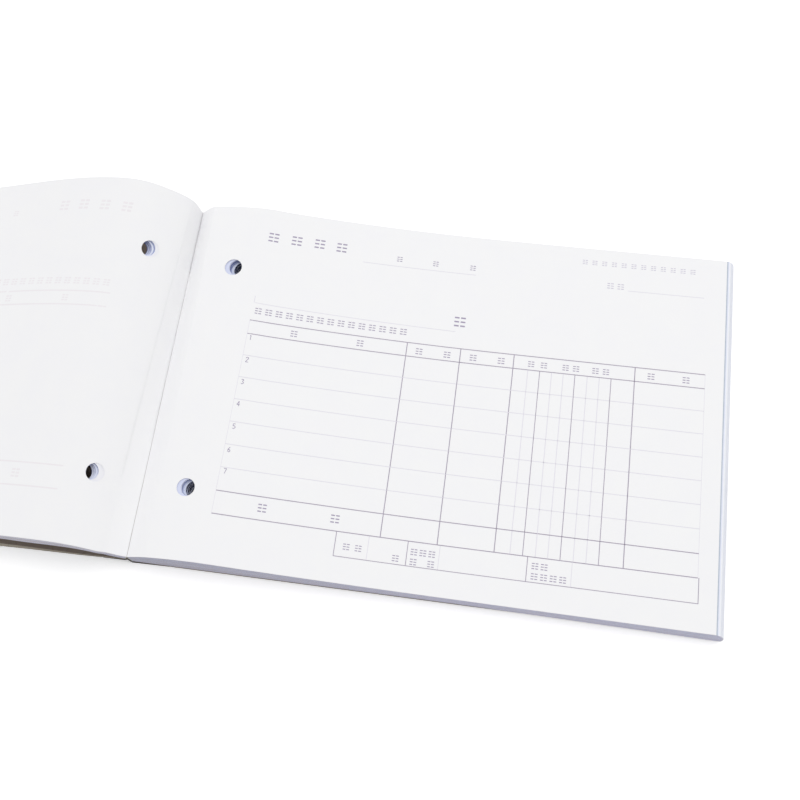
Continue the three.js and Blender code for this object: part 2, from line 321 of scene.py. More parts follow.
# Adds one thin layer, with its two punched holes, to a shape. The slip tells how far its fore
# edge, its near side and its far side have moved, and how far the near fore corner stands out.
def addLayer(shape, side, upper, lower, lengths, slip, holeSlip=((0, 0), (0, 0))):
    flip = side == "left"
    places = (upper, lower)
    known = {}
    foreSlip, nearSlip, farSlip, cornerOut = slip

    def corner(face, key, s, y):
        if (face, key) not in known:
            known[(face, key)] = len(shape["points"])
            s = s + foreSlip * shareBeyond(s, sheetGrid["slipFrom"])
            out = cornerOut * shareBeyond(s, sheetGrid["cornerFrom"])
            y = y + mix(nearSlip - out, farSlip, y / paper["height"])
            shape["points"].append(toMetres(places[face](s, y)))
        return known[(face, key)]

    def addFace(indices, turned, slot=faceSlot):
        shape["faces"].append(indices[::-1] if turned != flip else indices)
        shape["slots"].append(slot)

    def grid(face, row, column):
        return corner(face, (row, column), lengths[column], rowStations[row])

    lastRow, lastColumn = len(rowStations) - 1, len(lengths) - 1
    centres = [along + slipped[0] for along, slipped in zip(paper["holeAlong"], holeSlip)]
    if lengths[-1] <= paper["bendInset"]:
        centres = []
    spans = [windowSpan(lengths, centreS) for centreS in centres]
    radius, windowHalf = paper["holeDiameter"] / 2, sheetGrid["windowRows"][-1]
    for face in (0, 1):
        for row in range(lastRow):
            for column in range(lastColumn):
                middleY = (rowStations[row] + rowStations[row + 1]) / 2
                middleS = (lengths[column] + lengths[column + 1]) / 2
                if not any(span[0] < middleS < span[1] and abs(middleY - y) < windowHalf
                           for span, y in zip(spans, holeRows)):
                    addFace([grid(face, row, column), grid(face, row, column + 1),
                             grid(face, row + 1, column + 1), grid(face, row + 1, column)],
                            face == 1, foreSlot if middleS > sheetGrid["rimFrom"] else faceSlot)
    for hole, centreS in enumerate(centres):
        holeY, slipY = holeRows[hole], holeSlip[hole][1]
        rimPlaces = windowRim(lengths, spans[hole])
        faces = windowFaces(rimPlaces, centreS, slipY)
        rings = []
        for face in (0, 1):
            rim = [corner(face, (rowStations.index(holeY + y), lengths.index(s)), s, holeY + y)
                   for s, y in rimPlaces]
            ring = []
            for j in range(ringPoints):
                angle = j * 2 * math.pi / ringPoints
                ring.append(corner(face, ("hole", hole, j), centreS + math.cos(angle) * radius,
                                   holeY + slipY + math.sin(angle) * radius))
            for corners in faces:
                addFace([ring[i] if onRing else rim[i] for onRing, i in corners], face == 1)
            rings.append(ring)
        for j in range(ringPoints):
            k = (j + 1) % ringPoints
            addFace([rings[0][j], rings[0][k], rings[1][k], rings[1][j]], False, wallSlot)
    for i in range(lastColumn):
        addFace([grid(0, 0, i), grid(1, 0, i), grid(1, 0, i + 1), grid(0, 0, i + 1)],
                False, sideSlot)
        addFace([grid(0, lastRow, i), grid(0, lastRow, i + 1), grid(1, lastRow, i + 1),
                 grid(1, lastRow, i)], False, sideSlot)
    for i in range(lastRow):
        addFace([grid(0, i, 0), grid(0, i + 1, 0), grid(1, i + 1, 0), grid(1, i, 0)],
                False, foreSlot)
        addFace([grid(0, i, lastColumn), grid(1, i, lastColumn), grid(1, i + 1, lastColumn),
                 grid(0, i + 1, lastColumn)], False, foreSlot)


def newShape():
    return {"points": [], "faces": [], "slots": []}


sharpAngle = math.radians(50)


def makePiece(name, shape, materials, body, nodes):
    mesh = bpy.data.meshes.new(name)
    mesh.from_pydata(shape["points"], [], shape["faces"])
    for material in materials:
        mesh.materials.append(material)
    mesh.polygons.foreach_set("material_index", shape["slots"])
    mesh.polygons.foreach_set("use_smooth", [True] * len(mesh.polygons))
    mesh.update()
    mesh.set_sharp_from_angle(angle=sharpAngle)
    piece = bpy.data.objects.new(name, mesh)
    bpy.context.scene.collection.objects.link(piece)
    if nodes:
        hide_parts(*nodes)
    if body:
        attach(piece, body)
    return piece


# Adds one closed bar through sections that run towards the left, near end first.
def addBar(shape, sections):
    base, count = len(shape["points"]), len(sections[0][0])
    for upper, lower in sections:
        shape["points"] += [toMetres(point) for point in [*upper, *lower]]

    def at(row, side, i):
        return base + (2 * row + side) * count + i

    end = len(sections) - 1
    for row in range(end):
        for i in range(count - 1):
            shape["faces"] += [
                [at(row + 1, 0, i), at(row + 1, 0, i + 1), at(row, 0, i + 1), at(row, 0, i)],
                [at(row, 1, i + 1), at(row + 1, 1, i + 1), at(row + 1, 1, i), at(row, 1, i)]]
        last = count - 1
        shape["faces"] += [
            [at(row, 1, 0), at(row + 1, 1, 0), at(row + 1, 0, 0), at(row, 0, 0)],
            [at(row + 1, 0, last), at(row + 1, 1, last), at(row, 1, last), at(row, 0, last)]]
    for i in range(count - 1):
        shape["faces"] += [
            [at(0, 0, i + 1), at(0, 1, i + 1), at(0, 1, i), at(0, 0, i)],
            [at(end, 1, i), at(end, 1, i + 1), at(end, 0, i + 1), at(end, 0, i)]]
    shape["slots"] += [0] * (len(shape["faces"]) - len(shape["slots"]))


# sRGB hex to the linear colour that a shader takes
def paint(hexText):
    channels = [int(hexText[i:i + 2], 16) / 255 for i in (1, 3, 5)]
    return [c / 12.92 if c <= 0.04045 else ((c + 0.055) / 1.055) ** 2.4 for c in channels] + [1.0]


def addNode(tree, kind, sockets=None, **settings):
    node = tree.nodes.new(kind)
    for name, value in settings.items():
        setattr(node, name, value)
    for name, value in (sockets or {}).items():
        if isinstance(value, bpy.types.NodeSocket):
            tree.links.new(value, node.inputs[name])
        else:
            node.inputs[name].default_value = value
    return node


def startMaterial(name):
    material = bpy.data.materials.new(name)
    material.use_nodes = True
    tree = material.node_tree
    tree.nodes.clear()
    return material, tree, addNode(tree, "ShaderNodeTexCoord").outputs["Object"]


# Ends a material with one surface shader
def finishMaterial(material, sockets):
    tree = material.node_tree
    shader = addNode(tree, "ShaderNodeBsdfPrincipled", sockets)
    addNode(tree, "ShaderNodeOutputMaterial", {"Surface": shader.outputs["BSDF"]})
    return material


def perMillimetres(size):
    return 1000.0 / size


# Sockets of a mix node for colours
shareIn, firstIn, secondIn, colorOut = 0, 6, 7, 2

# Carbonless form paper, machine finished: matt and very even, with a faint cloudy
# formation that shows only as a soft mottle, and a grain too fine to see as relief.
writingPaper = {
    "light": "#f5f5f6",
    "shade": "#f4f4f6",
    "cloud": 9.0,
    "grain": 0.8,  # real fibres are about 0.03 mm wide, drawn coarser so that they show at all
    "roughness": 0.78,
    "spineShadeTo": 0.1,  # metres out from the middle of the spine
}


def makePaper(name, look, islandShade=None, spineShade=None):
    material, tree, where = startMaterial(name)
    cloud = addNode(tree, "ShaderNodeTexNoise", {
        "Vector": where, "Scale": perMillimetres(look["cloud"]), "Detail": 4.0, "Roughness": 0.6})
    soft = addNode(tree, "ShaderNodeMapRange", {
        "Value": cloud.outputs["Fac"], "From Min": 0.35, "From Max": 0.65})
    color = addNode(tree, "ShaderNodeMix", {
        shareIn: soft.outputs["Result"], firstIn: paint(look["light"]),
        secondIn: paint(look["shade"])}, data_type="RGBA").outputs[colorOut]
    if islandShade:
        island = addNode(tree, "ShaderNodeNewGeometry").outputs["Random Per Island"]
        color = addNode(tree, "ShaderNodeMix", {
            shareIn: island, firstIn: color, secondIn: paint(islandShade)},
            data_type="RGBA").outputs[colorOut]
    # Painted shade: the colour greys towards the middle of the spine and fades out further along.
    if spineShade:
        along = addNode(tree, "ShaderNodeSeparateXYZ", {"Vector": where}).outputs["X"]
        nearSpine = addNode(tree, "ShaderNodeMapRange", {
            "Value": along, "From Min": 0.0, "From Max": look["spineShadeTo"],
            "To Min": 1.0, "To Max": 0.0})
        color = addNode(tree, "ShaderNodeMix", {
            shareIn: nearSpine.outputs["Result"], firstIn: color, secondIn: paint(spineShade)},
            data_type="RGBA").outputs[colorOut]
    grain = addNode(tree, "ShaderNodeTexNoise", {
        "Vector": where, "Scale": perMillimetres(look["grain"]), "Detail": 3.0})
    relief = addNode(tree, "ShaderNodeBump", {
        "Height": grain.outputs["Fac"], "Strength": 0.12, "Distance": 0.00003})
    return finishMaterial(material, {
        "Base Color": color, "Roughness": look["roughness"], "Specular IOR Level": 0.25,
        "Normal": relief.outputs["Normal"]})


topPaper = makePaper("formPaperMachineFinished", writingPaper)

# The copy sheet's coated front is a cool pale blue, its back is as white as the page.
copyPaper = makePaper("copyPaperCapsuleCoated", {
    **writingPaper, "light": "#dbe0f6", "shade": "#d5dbf3"})
copyBack = makePaper("copyPaperUncoatedBack", {
    **writingPaper, "light": "#f3f3f7", "shade": "#efeff4"})
# Painted shadow: the copy sheet's rim is darkened where the page's edge would shade it.
copyRimShadow = makePaper("copyPaperRimPaintedShadow", {
    **writingPaper, "light": "#c3cbd8", "shade": "#b9c2d0", "cloud": 3.0})
setFace = makePaper("setsPaperMachineFinished", {
    **writingPaper, "light": "#eef1fb", "shade": "#e8ecf9"}, islandShade="#dde4f8")

# The guillotine smears the coatings along the long sides, so the stack is grey lilac there
# with fine lines. These sides are also painted darker as painted shade, being turned from the
# lamps, and greyer towards the spine as more painted shade. The fore edge was cut last and is
# clean, hardly darker than a page.
longEdgeSmearAndShade = makePaper("setsLongEdgesSmearedAndPaintedShade", {
    **writingPaper, "light": "#eee8f3", "shade": "#ddd6e3", "cloud": 2.0}, islandShade="#c6becd",
    spineShade="#bab4bc")
# The turned sets' long sides are painted darker still, as painted shade under the arch.
turnedEdgeSmearAndShade = makePaper("turnedLongEdgesSmearedAndPaintedShade", {
    **writingPaper, "light": "#e2dce2", "shade": "#d2ccd3", "cloud": 2.0}, islandShade="#b5aeb6")
foreEdge = makePaper("setsForeEdgesGuillotined", {
    **writingPaper, "light": "#f8f9fd", "shade": "#f2f4fa", "cloud": 3.0}, islandShade="#e5e8f0")

# Punched walls are painted with the shade inside the holes: a blue that is darkest deep in the
# unwritten half and palest in the shallow turned half.
punchedWallShade = makePaper("holeWallsPaintedShade", {
    **writingPaper, "light": "#828dc2", "shade": "#6c78b2", "cloud": 1.2}, islandShade="#2d3578")
deepWallShade = makePaper("deepHoleWallsPaintedShade", {
    **writingPaper, "light": "#454c7c", "shade": "#353b68", "cloud": 1.2}, islandShade="#0e1125")
turnedWallShade = makePaper("turnedHoleWallsPaintedShade", {
    **writingPaper, "light": "#bfc7e6", "shade": "#a5b0da", "cloud": 1.2}, islandShade="#7681ba")

# Pressed cover card, uncoated: matt brown with fibres and darker specks. Its cut edges are
# painted a darker grey brown as painted shade on the faces that stand on edge.
coverCard = {
    "light": "#978a7f",
    "shade": "#83766b",
    "speck": "#64574e",
    "paintedSideShade": "#70685c",
    "cloud": 14.0,
    "fibre": 1.6,  # a fibre bundle is about 0.2 mm wide, drawn coarser
    "roughness": 0.85,
}


def makeCard(name, look):
    material, tree, where = startMaterial(name)
    cloud = addNode(tree, "ShaderNodeTexNoise", {
        "Vector": where, "Scale": perMillimetres(look["cloud"]), "Detail": 5.0})
    tone = addNode(tree, "ShaderNodeMix", {
        shareIn: cloud.outputs["Fac"], firstIn: paint(look["light"]),
        secondIn: paint(look["shade"])}, data_type="RGBA")
    fibre = addNode(tree, "ShaderNodeTexNoise", {
        "Vector": where, "Scale": perMillimetres(look["fibre"]), "Detail": 6.0, "Distortion": 1.5})
    specks = addNode(tree, "ShaderNodeMapRange", {
        "Value": fibre.outputs["Fac"], "From Min": 0.58, "From Max": 0.72, "To Max": 0.5})
    speckled = addNode(tree, "ShaderNodeMix", {
        shareIn: specks.outputs["Result"], firstIn: tone.outputs[colorOut],
        secondIn: paint(look["speck"])}, data_type="RGBA")
    # Painted shade: faces that stand on edge take the darker side colour.
    facing = addNode(tree, "ShaderNodeSeparateXYZ", {
        "Vector": addNode(tree, "ShaderNodeTexCoord").outputs["Normal"]})
    level = addNode(tree, "ShaderNodeMath", {0: facing.outputs["Z"]}, operation="ABSOLUTE")
    edge = addNode(tree, "ShaderNodeMapRange", {
        "Value": level.outputs["Value"], "From Min": 0.6, "From Max": 0.3})
    color = addNode(tree, "ShaderNodeMix", {
        shareIn: edge.outputs["Result"], firstIn: speckled.outputs[colorOut],
        secondIn: paint(look["paintedSideShade"])}, data_type="RGBA")
    relief = addNode(tree, "ShaderNodeBump", {
        "Height": fibre.outputs["Fac"], "Strength": 0.3, "Distance": 0.00006})
    return finishMaterial(material, {
        "Base Color": color.outputs[colorOut], "Roughness": look["roughness"],
        "Specular IOR Level": 0.2, "Normal": relief.outputs["Normal"]})


coverMaterial = makeCard("coverCardPressedUncoated", coverCard)

# The rim that stands out of the book is painted paler as painted light, lit beyond the leaves' shade.
coverRimLit = makeCard("coverCardPaintedLightRim", {
    **coverCard, "light": "#d3c9b9", "shade": "#bfb4a4", "speck": "#998e80"})

# Book cloth, starch filled plain weave: dull charcoal with a fine even thread relief, the hollows
# between the threads painted darker as painted shade.
spineCloth = {
    "thread": "#5a5658",
    "hollowShade": "#3b383a",
    "pitch": 0.6,  # threads are about 0.35 mm apart, drawn coarser
    "roughness": 0.9,
    "waveRepeat": 0.314,  # of a unit, for a wave texture at scale 1
}


def makeCloth(name, look):
    material, tree, where = startMaterial(name)
    scale = look["waveRepeat"] * perMillimetres(look["pitch"])
    warp = addNode(tree, "ShaderNodeTexWave", {"Vector": where, "Scale": scale, "Distortion": 0.6},
                   bands_direction="X")
    weft = addNode(tree, "ShaderNodeTexWave", {"Vector": where, "Scale": scale, "Distortion": 0.6},
                   bands_direction="Y")
    weave = addNode(tree, "ShaderNodeMath", {0: warp.outputs["Fac"], 1: weft.outputs["Fac"]},
                    operation="MULTIPLY")
    color = addNode(tree, "ShaderNodeMix", {
        shareIn: weave.outputs["Value"], firstIn: paint(look["hollowShade"]),
        secondIn: paint(look["thread"])}, data_type="RGBA")
    relief = addNode(tree, "ShaderNodeBump", {
        "Height": weave.outputs["Value"], "Strength": 0.5, "Distance": 0.00008})
    return finishMaterial(material, {
        "Base Color": color.outputs[colorOut], "Roughness": look["roughness"],
        "Sheen Weight": 0.15, "Normal": relief.outputs["Normal"]})


clothMaterial = makeCloth("spineClothPlainWoven", spineCloth)

# Padding compound, brushed on and dried: milky, slightly glossy and uneven.
paddingGlue = {"thin": "#ece7d6", "thick": "#d9d2ba", "brush": 2.5, "roughness": 0.4}


def makeGlue(name, look):
    material, tree, where = startMaterial(name)
    brush = addNode(tree, "ShaderNodeTexNoise", {
        "Vector": where, "Scale": perMillimetres(look["brush"]), "Detail": 2.0})
    color = addNode(tree, "ShaderNodeMix", {
        shareIn: brush.outputs["Fac"], firstIn: paint(look["thin"]),
        secondIn: paint(look["thick"])}, data_type="RGBA")
    relief = addNode(tree, "ShaderNodeBump", {
        "Height": brush.outputs["Fac"], "Strength": 0.4, "Distance": 0.0001})
    return finishMaterial(material, {
        "Base Color": color.outputs[colorOut], "Roughness": look["roughness"], "IOR": 1.47,
        "Normal": relief.outputs["Normal"]})


glueMaterial = makeGlue("paddingGlueBrushed", paddingGlue)


# Offset ink on form paper: thin, matt and a little uneven in strength.
offsetInk = {"lay": 1.5, "roughness": 0.7}


def makeInk(name, strong, weak):
    material, tree, where = startMaterial(name)
    lay = addNode(tree, "ShaderNodeTexNoise", {
        "Vector": where, "Scale": perMillimetres(offsetInk["lay"]), "Detail": 2.0})
    color = addNode(tree, "ShaderNodeMix", {
        shareIn: lay.outputs["Fac"], firstIn: paint(strong), secondIn: paint(weak)},
        data_type="RGBA")
    return finishMaterial(material, {
        "Base Color": color.outputs[colorOut], "Roughness": offsetInk["roughness"],
        "Specular IOR Level": 0.25})


inks = {
    "rule": makeInk("formRulesOffsetPrinted", "#a199aa", "#b3abbb"),
    "hairline": makeInk("formHairlinesOffsetPrinted", "#e0dee7", "#e7e5ec"),
    "mark": makeInk("formMarksOffsetPrinted", "#9d94ac", "#b0a8be"),
    "faint": makeInk("formFaintMarksOffsetPrinted", "#c8c3d3", "#d2cedc"),
    "ghost": makeInk("formShowingThroughPaper", "#eeebee", "#f1eef1"),
}
print("materials made")

# Sheets and sets
random.seed(50)


def scatter(reach):
    return random.uniform(-reach, reach)


def randomSlip():
    edge = paper["edgeScatter"]
    return (scatter(paper["foreScatter"]), scatter(edge), scatter(edge))


# Sets are punched in lifts and slide when the book is opened, so deeper holes stand further
# from the gutter and show as crescents inside the hole above. One pair for each pack from
# the page down: how far its near and its far hole have slid.
packDrift = {
    "right": [(1.5, 1.5), (2.45, 2.35), (2.5, 2.42), (2.55, 2.47), (2.95, 2.9), (3.0, 2.95),
              (3.05, 3.0), (3.1, 3.05)],
    "left": [(1.95, 1.1), (2.7, 1.7), (3.1, 1.8), (3.6, 1.95)],
}


def packHoles(drift):
    reach = paper["packScatter"]
    return [(along + scatter(reach), scatter(reach)) for along in drift]


def setHoles(pack):
    reach = paper["holeScatter"]
    return [(s + scatter(reach), y + scatter(reach)) for s, y in pack]


# The lengths of the bound strip and of the leaf
def splitLengths(lengths):
    return ([s for s in lengths if s <= paper["bendInset"]],
            [s for s in lengths if s >= paper["bendInset"]])


plainStrip, plainLeaf = splitLengths(plainLengths)
fineStrip, fineLeaf = splitLengths(fineLengths)
packPitch = paper["pack"] + paper["gap"]
sheetPitch = paper["caliper"] + paper["gap"]

for number in range(1, paper["rightPacks"] + 1):
    shape = newShape()
    bottom = paper["block"] + (number - 1) * packPitch
    holes = packHoles(packDrift["right"][paper["rightPacks"] - number])
    for k in range(paper["setsPerPack"]):
        level = bottom + k * paper["pack"] / paper["setsPerPack"]
        out = mix(*paper["cornerOut"], stackShare(level))
        addLayer(shape, "right", sheetFace("right", level + paper["setThickness"]),
                 sheetFace("right", level), plainLengths, (*randomSlip(), out), setHoles(holes))
    # Painted shade: the deep packs' holes take the darkest walls, the top pack the palest.
    wall = turnedWallShade if number == paper["rightPacks"] else deepWallShade
    makePiece(f"unwrittenSets{number}", shape, [setFace, wall, longEdgeSmearAndShade, foreEdge],
              "bound_block", [f"unwritten_sets_{number}"])
print("unwritten sets laid")

for number in range(1, paper["leftPacks"] + 1):
    strip, leaf = newShape(), newShape()
    top = 2 * sheetPitch + (number - 1) * packPitch
    holes = packHoles(packDrift["left"][number - 1])
    for k in range(paper["setsPerPack"]):
        depth = top + k * paper["pack"] / paper["setsPerPack"]
        upper = sheetFace("left", depth)
        lower = sheetFace("left", depth + paper["setThickness"])
        slip, drifted = (*randomSlip(), 0.0), setHoles(holes)
        addLayer(strip, "left", upper, lower, plainStrip, slip)
        addLayer(leaf, "left", upper, lower, plainLeaf, slip, drifted)
    makePiece(f"turnedSets{number}BoundStrip", strip, [setFace, turnedWallShade, turnedEdgeSmearAndShade, foreEdge],
              "bound_block", [f"turned_sets_{number}_bound_strip"])
    makePiece(f"turnedSets{number}", leaf, [setFace, turnedWallShade, turnedEdgeSmearAndShade, foreEdge],
              "turned_leaves", [f"turned_sets_{number}"])
print("turned sets laid")

# The page is cut a little short of the copy sheet under it, whose rim is painted darker as the
# shadow of the page's edge and shows as a thin line.
singleSheets = [
    # name, CAD node, side, level or depth, body of the leaf, face, drift of the holes, record
    # slot, rim at the fore edge, slip of the fore edge
    ("copySheet", "copy_sheet", "right", paper["pageLevel"] - sheetPitch, "copy_sheet",
     copyPaper, (1.35, 1.4), "paper_copy", copyRimShadow, 0.0),
    ("topSheet", "top_sheet", "right", paper["pageLevel"], "top_sheet",
     topPaper, (0, 0), "paper_top", topPaper, -0.3),
    ("turnedCopySheet", "turned_copy_sheet", "left", sheetPitch, "turned_leaves",
     copyBack, (1.9, 1.05), "paper_copy", foreEdge, 0.0),
    ("turnedTopSheet", "turned_top_sheet", "left", 0.0, "turned_leaves",
     topPaper, (0, 0), "paper_top", topPaper, 0.0),
]
leaves, faces = {}, {}
for name, node, side, value, body, face, drift, slot, rim, slip in singleSheets:
    close = paper["gutterClose"] if node.endswith("top_sheet") else 0.0
    upper = sheetFace(side, value, 0.0, close)
    lower = sheetFace(side, value, paper["caliper"], close)
    holes = [(along, 0) for along in drift]
    edge, out = (longEdgeSmearAndShade, paper["cornerOut"][1]) if side == "right" else (turnedEdgeSmearAndShade, 0)
    slips, looks = (slip, 0, 0, out), [face, punchedWallShade, edge, rim]
    strip, leaf = newShape(), newShape()
    addLayer(strip, side, upper, lower, fineStrip, slips)
    makePiece(name + "BoundStrip", strip, looks, "bound_block", [node + "_bound_strip"])
    addLayer(leaf, side, upper, lower, fineLeaf, slips, holes)
    leaves[name] = makePiece(name, leaf, looks, body, [node])
    faces[name] = upper
print("single sheets laid")

# CAD parts whose shape is right take their material here
for node, material in (("back_cover", coverMaterial), ("binding_glue", glueMaterial)):
    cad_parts[node].data.materials.clear()
    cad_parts[node].data.materials.append(material)

# The front cover is one card, creased at its score. It lies a little askew: its near edge
# stands out by 0.8 mm at the left and is flush by the spine.
frontCover = {
    "caliper": 0.5,
    "outs": [6, 8, 9.4, 10, 10.6, 12, 15, 18, 22, 24, 30, 36, 42, 47, 53, 60, 75, 100, 130, 160,
             187.2],
    "stations": (4, 16, 32, 48, 64, 80, 96, 112, 128),
    "edge": {"near": (2.3, 2.0), "far": (4.0, 4.05)},  # out from the foot of the spine, and height
    "score": (10.0, 1.0),
    "landing": 22.0,
    "proudOuts": (0, 10, 24, 36, 47, 75),
    "proud": (-0.05, 0.0, 0.12, 0.3, 0.6, 0.8),
    "rim": (0.08, 0.12, 0.4, 0.6, 0.8, 0.9),
}


def coverUnderside(end):
    edge, (scoreOut, scoreHeight) = frontCover["edge"][end], frontCover["score"]
    landing = frontCover["landing"]
    line = [(-edge[0], edge[1])]
    for out in frontCover["outs"]:
        if out < scoreOut:
            height = mix(edge[1], scoreHeight, (out - edge[0]) / (scoreOut - edge[0]))
        else:
            height = scoreHeight * (max(0.0, landing - out) / (landing - scoreOut)) ** 2
        line.append((-out, height))
    return np.array(line)


# One section of a bar: both its lines take the same places along the spine.
def barSection(upper, lower, along):
    return [[(x, y, z) for y, (x, z) in zip(along, line)] for line in (upper, lower)]


coverNear, coverFar = coverUnderside("near"), coverUnderside("far")


def coverSection(y, along):
    lower = mix(coverNear, coverFar, y / paper["height"])
    return barSection(lower + [0.0, frontCover["caliper"]], lower, along)


# The first two sections are the near edge, which stands out, and the line where its rim ends.
proud, rim = (np.interp(-coverNear[:, 0], frontCover["proudOuts"], frontCover[key])
              for key in ("proud", "rim"))
sections = [coverSection(0, -proud), coverSection(0, rim - proud)]
sections += [coverSection(y, [y] * len(coverNear)) for y in frontCover["stations"]]
shape = newShape()
addBar(shape, sections)

# The upper faces of the first row are the rim, painted paler as painted light.
for i in range(0, 2 * len(frontCover["outs"]), 2):
    shape["slots"][i] = 1
piece = makePiece("frontCover", shape, [coverMaterial, coverRimLit], None,
                  ["front_cover", "front_cover_spine_strip"])
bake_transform(piece)

# Cloth tape round the spine. Where the book opens it folds into a ridge under the gutter,
# and its near end stands out of the trimmed sheets by a thread.
spineTape = {
    "clear": 0.05,
    "thin": 0.18,
    "thick": 0.42,  # swollen with glue at the ridge
    "glueOut": 0.2,  # the padding glue under the tape, with a gap
    "wing": (12.0, 0.23),
    "ridge": {"near": (-1.02, 5.5), "far": (-1.02, 6.1)},
    "heel": {"near": (-2.2, 2.9), "far": (-3.7, 4.9)},
    "proud": (0.02, 0.25, 0.3, 0.3, 0.2, 0.02),  # from the wing round to the score
    "stations": (0, 32, 64, 96, 128),
}


# Moves an open line to its left-hand side, mitred at the corners.
def offsetLine(line, distance):
    points = np.array(line)
    legs = np.diff(points, axis=0)
    legs /= np.linalg.norm(legs, axis=1)[:, None]
    sides = np.stack([-legs[:, 1], legs[:, 0]], axis=1)
    miter = np.vstack([sides[:1], sides]) + np.vstack([sides, sides[-1:]])
    return points + miter * (2 * distance / (miter ** 2).sum(axis=1))[:, None]


def tapeLines(end):
    bound = [(0, paper["block"]), spineTape["ridge"][end], spineTape["heel"][end]]
    foot, ridge, heel = offsetLine(bound, spineTape["glueOut"])
    (edgeOut, edgeHeight), (scoreOut, scoreHeight) = frontCover["edge"][end], frontCover["score"]
    path = [spineTape["wing"], (foot[0], spineTape["wing"][1]), ridge, heel,
            (-edgeOut, edgeHeight), (-scoreOut, scoreHeight)]
    upper = offsetLine(path, spineTape["clear"])
    lower = offsetLine(path, spineTape["clear"] + spineTape["thin"])
    swollen = offsetLine(path, spineTape["clear"] + spineTape["thick"])
    lower[2:4] = swollen[2:4]
    return upper, lower


tapeNear, tapeFar = tapeLines("near"), tapeLines("far")


def tapeSection(y, along):
    upper, lower = (mix(a, b, y / paper["height"]) for a, b in zip(tapeNear, tapeFar))
    return barSection(upper, lower, along)


# The near end stands out of the sheets.
sections = [tapeSection(0, [-out for out in spineTape["proud"]])]
sections += [tapeSection(y, [y] * len(tapeNear[0])) for y in spineTape["stations"]]
shape = newShape()
addBar(shape, sections)
makePiece("spineTape", shape, [clothMaterial], "bound_block", ["spine_tape"])
print("covers and tape laid")

# Printed form of the top sheet. Every place is in plan, in the section frame.
form = {
    "left": 24.7,
    "right": 175.8,
    "top": 84.8,
    "headBottom": 79.8,
    "rows": 7,
    "totalTop": 24.2,
    "bottom": 16.5,
    "skew": 0.4,  # the left ends of the lines drift outwards, down to the foot of the table
    "boxLeft": 64.45,
    "boxRight": 176.1,
    "boxBottom": 8.5,
    "strongColumns": [78.2, 96.15, 113.9, 153.4],
    "strongShort": [122.7, 134.2, 145.9],
    "hairShort": [118.8, 126.6, 130.4, 138.2, 142.1],
    "boxStrong": [87.15, 124.35],
    "boxHair": [74.85, 97.2, 138.0],
    "ruleWidth": 0.3,
    "thinWidth": 0.24,  # rules at the right and in the box
    "hairWidth": 0.26,
    "boxHairWidth": 0.2,
    "sideWidth": 0.12,
    # for the customer, with a short upright at its left end, for the date and for the number
    "writingLines": [(25.3, 91.4, 93.6, 90.9), (25.0, 94.0, 25.0, 91.4),
                     (59.2, 113.0, 98.2, 113.2), (149.5, 112.9, 174.5, 113.0)],
    "writingWidth": 0.22,
    "lift": 0.018,  # the ink film is far thinner, this keeps it clear of the sheet's facets
    "sink": 0.01,
    "inkStep": 2.0,  # from one place where a line is laid on the sheet to the next
    "castFrom": 60.0,  # a height above all sheets
    "ghostStep": 12.0,
    "ghostSpread": 1.6,
}


def surfaceTree(piece):
    mesh = piece.data
    return BVHTree.FromPolygons([v.co.copy() for v in mesh.vertices],
                                [tuple(p.vertices) for p in mesh.polygons])


pageTree = surfaceTree(leaves["topSheet"])
turnedTree = surfaceTree(leaves["turnedTopSheet"])


# Lays a thin closed strip of ink along a line in plan on a sheet.
def addInk(shape, tree, start, end, width):
    length = math.dist(start, end)
    steps = max(1, math.ceil(length / form["inkStep"]))
    across = (-(end[1] - start[1]) / length * width / 2, (end[0] - start[0]) / length * width / 2)
    rows = []
    for i in range(steps + 1):
        x, y = mix(start[0], end[0], i / steps), mix(start[1], end[1], i / steps)
        row = []
        for sign in (1, -1):
            spot = toMetres((x + sign * across[0], y + sign * across[1], form["castFrom"]))
            row.append(tree.ray_cast(Vector(spot), Vector((0, 0, -1)))[0])
        rows.append(row)
    base = len(shape["points"])
    for left, right in rows:
        for height in (form["lift"], -form["sink"]):
            shape["points"] += [tuple(left + Vector((0, 0, height / 1000))),
                                tuple(right + Vector((0, 0, height / 1000)))]
    for i in range(steps):
        a, b = base + 4 * i, base + 4 * i + 4
        shape["faces"] += [[a, a + 1, b + 1, b], [a + 2, b + 2, b + 3, a + 3],
                           [a, b, b + 2, a + 2], [a + 1, a + 3, b + 3, b + 1]]
    last = base + 4 * steps
    shape["faces"] += [[base, base + 2, base + 3, base + 1], [last, last + 1, last + 3, last + 2]]
    shape["slots"] += [0] * (4 * steps + 2)


formLines = {"rule": [], "hairline": [], "mark": [], "faint": []}


def rule(kind, x0, y0, x1, y1, width=None):
    width = width or (form["ruleWidth"] if kind == "rule" else form["hairWidth"])
    formLines[kind].append(((x0, y0), (x1, y1), width))


def leftEnd(y):
    return form["left"] - form["skew"] * (form["top"] - y) / (form["top"] - form["bottom"])


rowPitch = (form["headBottom"] - form["totalTop"]) / form["rows"]
for y in (form["top"], form["headBottom"], form["totalTop"], form["bottom"]):
    rule("rule", leftEnd(y), y, form["right"], y)
for i in range(1, form["rows"]):
    y = form["headBottom"] - i * rowPitch
    rule("hairline", leftEnd(y), y, form["right"], y)
for x in form["strongColumns"]:
    rule("rule", x, form["top"], x, form["bottom"])
for x in form["strongShort"]:
    rule("rule", x, form["headBottom"], x, form["bottom"], form["thinWidth"])
for x in form["hairShort"]:
    rule("hairline", x, form["headBottom"], x, form["bottom"])
outer, thin = form["sideWidth"], form["thinWidth"]
rule("hairline", leftEnd(form["top"]), form["top"], leftEnd(form["bottom"]), form["bottom"], outer)
rule("hairline", form["right"], form["top"], form["right"], form["bottom"], outer)
rule("rule", form["boxLeft"], form["bottom"], form["boxLeft"], form["boxBottom"], thin)
